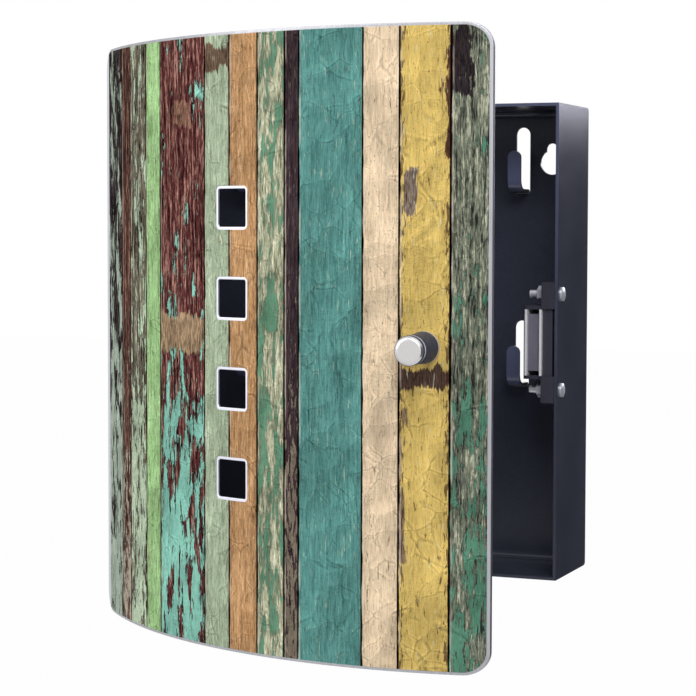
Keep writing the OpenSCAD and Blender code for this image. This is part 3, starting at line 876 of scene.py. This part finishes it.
def gapped(net, paint, from_left, inside, drift):
    """A broken pale line beside each board's left edge, and then the dark gaps between the boards."""
    line = times(net, step(net, from_left, 0.4, 0.6), rest_of(net, step(net, from_left, 0.8, 1.2)))
    line = times(net, line, step(net, drift, 0.4, 0.6))
    paint = blend(net, times(net, line, 0.5), paint, EDGE_LINE)
    gap = rest_of(net, step(net, plus(net, inside, swing(net, drift, 0.9)), 0.22, 0.44))
    return blend(net, gap, paint, BOARD_GAP)


# %% Paint the boards


def board_print():
    """Matt film: the layers of all boards, and a clear margin at the left that shows the steel."""
    material, net, shader = finish("board print")
    across, upward = front_chart(net)
    drift = front_noise(net, (across, upward), DRIFT)
    ragged = plus(net, across, swing(net, drift, 0.7))
    index, paints, (left, right), values = board_values(net, ragged)
    top, low, strength, fine, wear, specks = values
    spot = (across, upward, index)

    streak, fibre = grain(net, spot, STREAKS), grain(net, spot, FIBRES)
    paint, tone = wood(net, paints, streak, fibre, strength)
    large, small = grain(net, spot, LARGE_FLAKES), grain(net, spot, SMALL_FLAKES)
    flake = plus(net, large, times(net, minus(net, small, large), fine))
    flake = plus(net, flake, swing(net, tone, 0.3))
    cover = plus(net, times(net, minus(net, top, low), step(net, upward, -90, 60)), low)
    paint = flaked(net, paint, paints, flake, cover)
    fray = plus(net, swing(net, streak, 5.0), swing(net, large, 16.0))
    paint = worn_bands(net, paint, spot, fray, fibre)
    paint = flawed(net, paint, spot, small, specks)

    from_left = minus(net, ragged, left)
    inside = calc(net, "MINIMUM", from_left, minus(net, right, ragged))
    rub = plus(net, inside, plus(net, swing(net, small, 14.0), swing(net, fibre, 6.0)))
    rub = times(net, rest_of(net, step(net, rub, 0.2, 1.0)), wear)
    paint = blend(net, rub, paint, RUBBED_EDGE)
    dents, creases = crumpled(net, spot)
    cloud = swing(net, grain(net, spot, CLOUDS), 0.9)
    shade = plus(net, swing(net, fibre, plus(net, strength, 0.1)), cloud)
    shade = plus(net, plus(net, shade, dents), 1.0)
    shade = plus(net, shade, times(net, creases, 0.26))
    paint = gapped(net, shaded(net, paint, shade), from_left, inside, drift)

    margin = rest_of(net, step(net, across, PRINT_START - 0.2, PRINT_START + 0.2))
    paint = blend(net, margin, paint, BARE_MARGIN)
    matt = plus(net, 0.5, times(net, fibre, 0.1))
    fill(net, shader, Base_Color=paint, Metallic=margin, Roughness=matt, Specular_IOR_Level=0.0)
    set_relief(net, shader, plus(net, creases, times(net, fibre, 0.3)), 0.03 * MM, 0.3)
    return material


PRINT = board_print()
print("board print has", len(PRINT.node_tree.nodes), "nodes")

# %% [markdown]
# ## The front and its film
#
# The steel front and the film share one recipe with other numbers: the film is smaller all round by
# the bare rim and its window openings are larger by the same amount. Both replace their CAD solids,
# which are only hidden, because here the edges are softened and both need a flat
# chart (a UV map) of across and up: the film for its print, the steel for its polished rims.

# %% Make the front
STEEL_SOFT = 0.18 * MM
FILM_SOFT = 0.05 * MM


def front_holes(margin):
    """Windows and screw hole of a sheet, widened by a margin."""
    window = dict(x=WINDOW_X, half=WINDOW / 2 + margin, r=WINDOW_R + margin, cell=WINDOW_CELL)
    screw = dict(x=KNOB_X, z=knob_z, half=SCREW_HOLE, r=SCREW_HOLE, cell=SCREW_CELL)
    top = (WINDOWS - 1) / 2
    return [dict(window, z=(top - i) * WINDOW_PITCH) for i in range(WINDOWS)] + [screw]


steel_patches = pierced_sheet(
    front_half, CORNER_R, front_holes(0), steel_out, steel_out - steel_in, STEEL_SOFT)
front_steel = make_piece("front_steel", steel_patches, "door", STAINLESS)
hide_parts("front_panel")

bare_rim = float(front_half[0] - film_half[0])
film_patches = pierced_sheet(
    film_half, CORNER_R - bare_rim, front_holes(bare_rim), film_out, film_out - film_in, FILM_SOFT)
front_film = make_piece("front_film", film_patches, "door", PRINT)
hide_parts("printed_film")

# %% Chart the front and its film


def add_chart(piece, name, values):
    """A UV map from two values at each vertex."""
    loops = np.empty(len(piece.data.loops), np.int32)
    piece.data.loops.foreach_get("vertex_index", loops)
    uv_map = piece.data.uv_layers.new(name=name)
    uv_map.data.foreach_set("uv", values[loops].astype(np.float32).ravel())


for charted in (front_steel, front_film):
    add_chart(charted, "front", closed(mesh_points(charted.data))[:, [0, 2]] / (CHART_MM * MM))
print("front and film charted in tenths of a metre, across and up")

# %% [markdown]
# ## The knob
#
# The knob is turned from steel: a flared foot, a straight body, a groove, a rim and a chamfered face.
# A turned piece is a profile carried round an axis, so a list of (radius, height) corners is softened
# and swept. The axis stands square to the bow, so it runs through the bow's own axis.

# %% Turn the knob
TURN_STEPS = 96
FLARE_STEPS = 14
# Heights of the flare above the foot's underside, and depths of the groove's edges below the face
FLARE_LOW, FLARE_HIGH = 0.8 * MM, 15.0 * MM
GROOVE_LOW, GROOVE_HIGH = 3.9 * MM, 3.2 * MM
GROOVE_CUT = 0.5 * MM
CHAMFER = 0.8 * MM
BORE_R = 2.06 * MM
FOOT_SOFT = 0.15 * MM
LIP = 0.12 * MM
knob_way = np.array([KNOB_X, -math.sqrt(steel_out ** 2 - KNOB_X ** 2)]) / steel_out


def knob_place(points):
    """Distance of closed points from the knob's axis, and their place along it from the bow's axis."""
    x, y, z = points[:, 0], points[:, 1] - bow_y, points[:, 2] - knob_z
    return np.hypot(x * -knob_way[1] + y * knob_way[0], z), x * knob_way[0] + y * knob_way[1]


off_axis, along = knob_place(knob)
knob_foot, knob_face = along.min(), along.max()
knob_len = knob_face - knob_foot
foot_r = off_axis.max()
body_r = off_axis[along > knob_foot + knob_len / 2].max()
print(f"knob {knob_len / MM:.1f} mm long, {2 * body_r / MM:.1f} mm wide, foot {2 * foot_r / MM:.1f} mm")


def knob_profile():
    """Corners (radius, height) from the foot's underside to the middle of the face, in metres."""
    drop, run = foot_r - body_r, FLARE_HIGH - FLARE_LOW
    flare_r = (drop ** 2 + run ** 2) / (2 * drop)
    h = np.linspace(FLARE_LOW, FLARE_HIGH, FLARE_STEPS)
    flare = np.stack([body_r + flare_r - np.sqrt(flare_r ** 2 - (FLARE_HIGH - h) ** 2), h], 1)
    foot = [(BORE_R, 0), (foot_r - FOOT_SOFT, 0), (foot_r, FOOT_SOFT), (foot_r, FLARE_LOW - FOOT_SOFT)]
    low, high = knob_len - GROOVE_LOW, knob_len - GROOVE_HIGH
    neck_r = body_r - GROOVE_CUT
    neck = [(body_r, low - LIP), (body_r - LIP, low), (neck_r, low + LIP),
            (neck_r, high - LIP), (body_r - LIP, high), (body_r, high + LIP)]
    head_r, head_h = body_r - CHAMFER, knob_len - CHAMFER
    head = [(body_r, head_h - LIP), (body_r - LIP, head_h + 0.2 * LIP),
            (head_r - 0.2 * LIP, knob_len - LIP), (head_r - LIP, knob_len)]
    face = [(share * (head_r - LIP), knob_len) for share in (0.8, 0.5, 0.2, 0.0)]
    return np.concatenate([foot, flare, neck, head, face])


def swept(profile, foot, way):
    """Points of a profile carried round an axis that stands out of the bow."""
    angle = np.linspace(0, 2 * math.pi, TURN_STEPS, endpoint=False)
    side = np.array([-way[1], way[0]])
    r, h = profile[:, 0, None], profile[:, 1, None] + foot
    sideways = r * np.cos(angle)
    x = h * way[0] + sideways * side[0]
    y = bow_y + h * way[1] + sideways * side[1]
    return opened(np.stack([x, y, knob_z + r * np.sin(angle)], -1))


# %% [markdown]
# The knob is turned, not brushed straight, so its lines run round the axis. They read the distance
# from the axis and along it from a chart on the piece itself. The face is bright metal. The groove's
# lower edge and the foot are painted pale as highlights, and the side between them is painted dark
# and matt as the steel's dark reflection.

# %% Finish the knob
RING_CELLS = 6
# In millimetres: bright face's depth, end of the foot's painted highlight, half width of the painted
# highlight ring
FACE_DEPTH = 0.7
FOOT_HIGHLIGHT_END = (1.5, 1.9)
RING_HIGHLIGHT_END = (0.2, 0.4)


def turned_steel():
    """Fine rings; bright face, painted highlights at groove and foot, painted dark reflection on the side.
    """
    material, net, shader = finish("turned steel")
    chart = make(net, "ShaderNodeUVMap", {"uv_map": "turned"}).outputs[0]
    radius, height, _ = split(net, chart)
    rings = point(net, times(net, height, RING_CELLS), times(net, radius, RING_CELLS))
    rings = noise(net, rings, 3.0, 0.6)
    marks = place_group(net, HANDLED, object_point(net))
    head, groove = knob_len / MM - FACE_DEPTH, (knob_len - GROOVE_LOW) / MM
    face = step(net, height, head - 0.1, head + 0.1)
    # side is the painted dark reflection, dark and matt; the foot, the ring at the groove and the face
    # stay out of it
    side = times(net, step(net, height, *FOOT_HIGHLIGHT_END), rest_of(net, face))
    side = times(net, side, step(net, apart(net, height, groove), *RING_HIGHLIGHT_END))
    # Pale for the face and the painted highlights, dark blue-grey for the painted dark reflection on the
    # side
    tone = blend(net, side, colour(218, 215, 215), colour(66, 72, 92))
    tone = blend(net, times(net, step(net, rings, 0.3, 0.7), 0.25), tone, colour(96, 96, 102))
    gloss = plus(net, 0.2, times(net, marks, 0.16))
    fill(net, shader, Base_Color=tone, Roughness=gloss, Metallic=face, Specular_IOR_Level=0.01)
    set_relief(net, shader, rings, 0.02 * MM, 0.3)
    return material


knob_patch = swept(knob_profile(), knob_foot, knob_way)
knob_steel = make_piece("turned_knob", [(knob_patch, True)], "door", turned_steel())
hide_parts("knob")

# %% Chart the knob
off_axis, along = knob_place(closed(mesh_points(knob_steel.data)))
add_chart(knob_steel, "turned", np.stack([off_axis, along - knob_foot], 1) / MM)
print("knob charted in millimetres, off its axis and along it")

# %% [markdown]
# ## The pieces that keep their solids
#
# Tray, catch, screws, brackets and spacers have their real shape in the frame, so each of them only
# needs a finish. One table says what is made of what.

# %% Dress the frame's own nodes
FINISHES = {
    POWDER: ["tray"],
    MOULDED: ["catch_case"],
    FERRITE: ["catch_magnet"],
    NICKEL: ["pole_plate_outer", "pole_plate_inner"],
    NYLON: ["spacer_washer_upper", "spacer_washer_lower"],
    ZINC: [
        "hinge_pin_upper", "hinge_pin_lower", "hinge_bracket_upper", "hinge_bracket_lower",
        "catch_screw_upper", "catch_screw_lower", "catch_washer_upper", "catch_washer_lower",
        "catch_nut_upper", "catch_nut_lower", "knob_screw", "knob_washer", "strike_plate",
    ],
}


def dress(node, material):
    """Give a CAD node a finish; its shape stays as it is."""
    piece = frame["nodes"][node]
    if not piece.material_slots:
        piece.data.materials.append(material)
    for slot in piece.material_slots:
        slot.material = material


for material, nodes in FINISHES.items():
    for node in nodes:
        dress(node, material)
print("dressed", sum(len(nodes) for nodes in FINISHES.values()), "CAD nodes")

# %% [markdown]
# ## Studio
#
# The photograph is a plain product shot: even light from the front, white all round. The camera's
# place and lens were worked out from the outline of the front and the tray. Large soft lamps keep
# the colours as they are written, and the background is white for the camera and for reflections
# while it lights the object only softly.

# %% Set up the camera
CAMERA_AT = Vector((0.32824, -0.82125, 0.04591))
CAMERA_ROLL = math.radians(0.17)
FOCAL_PIXELS = 2061.9
IMAGE_PIXELS = 696
PRINCIPAL = (369.36, 332.32)
SENSOR_MM = 36


def looking(place, target):
    """Matrix of something that stands at a place and looks at a target."""
    way = Vector(target) - Vector(place)
    return Matrix.Translation(Vector(place)) @ way.to_track_quat("-Z", "Y").to_matrix().to_4x4()


lens = bpy.data.cameras.new("camera")
lens.sensor_width = SENSOR_MM
lens.lens = FOCAL_PIXELS / IMAGE_PIXELS * SENSOR_MM
lens.shift_x = 0.5 - PRINCIPAL[0] / IMAGE_PIXELS
lens.shift_y = PRINCIPAL[1] / IMAGE_PIXELS - 0.5
lens.clip_start = 0.01
camera = add_object("camera", lens)
camera.matrix_world = looking(CAMERA_AT, (0, 0, 0)) @ Matrix.Rotation(CAMERA_ROLL, 4, "Z")
bpy.context.scene.camera = camera
print(f"lens {lens.lens:.1f} mm")

# %% Light the object
# How strongly the surround lights the object, where white is 1
SOFT_LIGHT = 0.2


def soft_lamp(name, place, target, size, power, tint=(1, 1, 1)):
    """A square area lamp that looks from its place to a target."""
    lamp = bpy.data.lights.new(name, "AREA")
    lamp.size = size
    lamp.energy = power
    lamp.color = tint
    add_object(name, lamp).matrix_world = looking(place, target)


soft_lamp("key", (-1.1, -1.2, 0.8), (0, 0, 0), 1.4, 15)
soft_lamp("fill", (0.6, -1.1, 1.0), (0, 0, 0), 0.8, 17)
soft_lamp("back", (0.75, 1.5, 0.55), (0.1, 0, 0.05), 0.7, 9, (0.8, 0.8, 1.0))


def seen_rays(net):
    """1 for rays that see, straight, mirrored or let through, and 0 for rays that light."""
    path = net.nodes.new("ShaderNodeLightPath").outputs
    seen = larger(net, path["Is Camera Ray"], path["Is Glossy Ray"])
    return larger(net, seen, path["Is Transmission Ray"])


def white_surround():
    """World: white where it is seen or mirrored, a softer grey where it lights the object."""
    world = bpy.data.worlds.new("surround")
    bpy.context.scene.world = world
    world.use_nodes = True
    net = world.node_tree
    net.nodes.clear()
    level = plus(net, times(net, seen_rays(net), 1 - SOFT_LIGHT), SOFT_LIGHT)
    sky = make(net, "ShaderNodeBackground", Color=(1, 1, 1, 1), Strength=level)
    output = net.nodes.new("ShaderNodeOutputWorld")
    net.links.new(sky.outputs[0], output.inputs["Surface"])


white_surround()

# %% Lay the floor
FLOOR_Z = -0.75
FLOOR_HALF = 12.0
FLOOR_CELLS = 40
# The share of the floor that is plain white where it is seen; the rest takes the shadow
FLOOR_WHITE = 0.985


def pale_floor():
    """Pale paper: mostly plain white to the camera, with a part that still takes the shadow."""
    material, net, shader = finish("pale floor")
    speckle = noise(net, scaled(net, object_point(net), FLOOR_CELLS), 2.0)
    tone = blend(net, speckle, colour(244, 244, 244), colour(248, 248, 248))
    fill(net, shader, Base_Color=tone, Roughness=0.9)
    glow = make(net, "ShaderNodeEmission", Color=(1, 1, 1, 1), Strength=1.0)
    mixed = net.nodes.new("ShaderNodeMixShader")
    put(net, mixed.inputs[0], times(net, seen_rays(net), FLOOR_WHITE))
    net.links.new(shader.outputs[0], mixed.inputs[1])
    net.links.new(glow.outputs[0], mixed.inputs[2])
    output = next(n for n in net.nodes if n.type == "OUTPUT_MATERIAL")
    net.links.new(mixed.outputs[0], output.inputs["Surface"])
    return material


def flat_sheet(name, corners, material):
    """A flat sheet from four corners, placed in the scene."""
    mesh = bpy.data.meshes.new(name)
    mesh.from_pydata(corners, [], [(0, 1, 2, 3)])
    mesh.materials.append(material)
    return add_object(name, mesh)


square = [(-1, -1), (1, -1), (1, 1), (-1, 1)]
floor_corners = [(FLOOR_HALF * x, FLOOR_HALF * y, FLOOR_Z) for x, y in square]
floor = flat_sheet("floor", floor_corners, pale_floor())
bpy.context.scene.view_settings.view_transform = "Standard"

# %% [markdown]
# A black coat with white all round it looks grey. Photographers stand black cards beside the object,
# out of the picture, so that dark faces and metal have something dark to mirror. Here two cards stand
# on the right: a low one behind, whose upper edge gives the wall its fading sheen, and a tall one
# beside it.

# %% Stand two black cards on the right
BLACK_PAPER = skin("black paper", colour(20, 20, 22), colour(26, 26, 28), 0.9, 0.5 * MM, 0.02 * MM)


def black_card(name, start, end, top):
    """An upright card between two places on the floor; only mirrored rays meet it."""
    corners = [(*start, FLOOR_Z), (*end, FLOOR_Z), (*end, top), (*start, top)]
    card = flat_sheet(name, corners, BLACK_PAPER)
    card.visible_camera = card.visible_diffuse = card.visible_shadow = False


black_card("card_behind", (0.2, 1.5), (1.1, 0.9), 0.165)
black_card("card_beside", (1.1, 0.9), (1.3, -0.5), 0.5)
print("studio ready")
